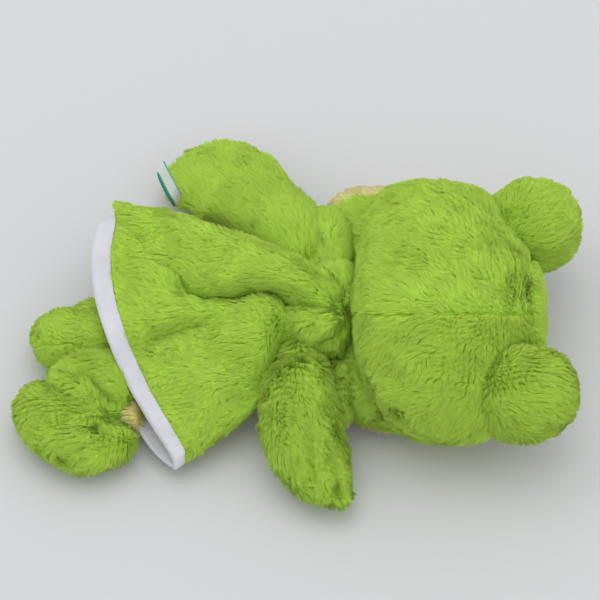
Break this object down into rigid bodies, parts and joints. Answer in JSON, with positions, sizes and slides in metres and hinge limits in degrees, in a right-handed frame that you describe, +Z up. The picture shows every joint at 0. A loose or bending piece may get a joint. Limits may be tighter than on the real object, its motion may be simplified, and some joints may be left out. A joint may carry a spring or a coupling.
{
  "type": "frog hand puppet",
  "caption": "Plush frog glove puppet lying face down: stuffed head with eye domes, lined flared sleeve, two arms and two folded legs.",
  "frame": {"origin": "middle of the bounding box's underside, as the puppet lies face down", "axes": "+Z up, +X from the sleeve's hem to the top of the head, +Y to the puppet's left side"},
  "size_m": [0.299, 0.2312, 0.0892],
  "materials": {
    "green_plush": "short dense plush pile",
    "yellow_plush": "short dense plush pile",
    "white_lining": "smooth woven polyester",
    "white_felt": "matt felt",
    "polyester_filling": "loose fibre",
    "black_eye_plastic": "glossy moulded",
    "clear_plastic": "moulded",
    "woven_label": "flat satin weave"
  },
  "bodies": {
    "sleeve": {"sleeve_lining": "white_lining", "back_panel": "green_plush", "belly_panel": "yellow_plush", "hem_band": "white_lining"},
    "neck": {"neck_band": "white_lining"},
    "head": {"head_back_left": "green_plush", "head_back_right": "green_plush", "face_panel": "green_plush", "chin_panel": "yellow_plush", "head_filling": "polyester_filling", "head_pocket": "white_lining", "eye_dome_left": "green_plush", "eye_dome_filling_left": "polyester_filling", "eye_felt_left": "white_felt", "eye_left": "black_eye_plastic", "eye_washer_left": "clear_plastic", "eye_dome_right": "green_plush", "eye_dome_filling_right": "polyester_filling", "eye_felt_right": "white_felt", "eye_right": "black_eye_plastic", "eye_washer_right": "clear_plastic"},
    "arm_left": {"arm_left_upper_skin": "green_plush", "arm_left_under_skin": "green_plush", "arm_left_filling": "polyester_filling", "arm_left_pocket": "white_lining"},
    "arm_right": {"arm_right_upper_skin": "green_plush", "arm_right_under_skin": "green_plush", "arm_right_filling": "polyester_filling", "arm_right_pocket": "white_lining"},
    "thigh_left": {"thigh_left_upper_skin": "green_plush", "thigh_left_under_skin": "green_plush", "thigh_left_filling": "polyester_filling"},
    "foot_left": {"foot_left_upper_skin": "green_plush", "foot_left_sole": "green_plush", "foot_left_filling": "polyester_filling"},
    "thigh_right": {"thigh_right_upper_skin": "green_plush", "thigh_right_under_skin": "green_plush", "thigh_right_filling": "polyester_filling"},
    "foot_right": {"foot_right_upper_skin": "green_plush", "foot_right_sole": "green_plush", "foot_right_filling": "polyester_filling"},
    "tag": {"label_tag": "woven_label"}
  },
  "joints": [
    {"name": "neck_turn", "type": "hinge", "parent": "sleeve", "child": "neck", "pos_m": [0.02454, -0.00343, 0.04], "axis": [1, 0, 0], "range_deg": [-5, 5]},
    {"name": "neck_nod", "type": "hinge", "parent": "neck", "child": "head", "pos_m": [0.02454, -0.00343, 0.04], "axis": [0, -1, 0], "range_deg": [0, 15]},
    {"name": "arm_left_lift", "type": "hinge", "parent": "sleeve", "child": "arm_left", "pos_m": [-0.00446, 0.02257, 0.054], "axis": [1, 0, 0], "range_deg": [0, 30]},
    {"name": "arm_right_lift", "type": "hinge", "parent": "sleeve", "child": "arm_right", "pos_m": [-0.00446, -0.02743, 0.054], "axis": [-1, 0, 0], "range_deg": [0, 30]},
    {"name": "hip_left_lift", "type": "hinge", "parent": "sleeve", "child": "thigh_left", "pos_m": [-0.09946, -0.00943, 0.035], "axis": [0, 1, 0], "range_deg": [0, 20]},
    {"name": "knee_left_fold", "type": "hinge", "parent": "thigh_left", "child": "foot_left", "pos_m": [-0.11746, -0.01143, 0.035], "axis": [0, 1, 0], "range_deg": [0, 30]},
    {"name": "hip_right_lift", "type": "hinge", "parent": "sleeve", "child": "thigh_right", "pos_m": [-0.08346, -0.05143, 0.035], "axis": [0, 1, 0], "range_deg": [0, 20]},
    {"name": "knee_right_fold", "type": "hinge", "parent": "thigh_right", "child": "foot_right", "pos_m": [-0.10746, -0.05443, 0.036], "axis": [-0.6712, 0.7413, 0], "range_deg": [0, 30]},
    {"name": "label_flip", "type": "hinge", "parent": "sleeve", "child": "tag", "pos_m": [-0.0644, 0.0409, 0.0412], "axis": [1, 0, 0], "range_deg": [-20, 30]}
  ]
}
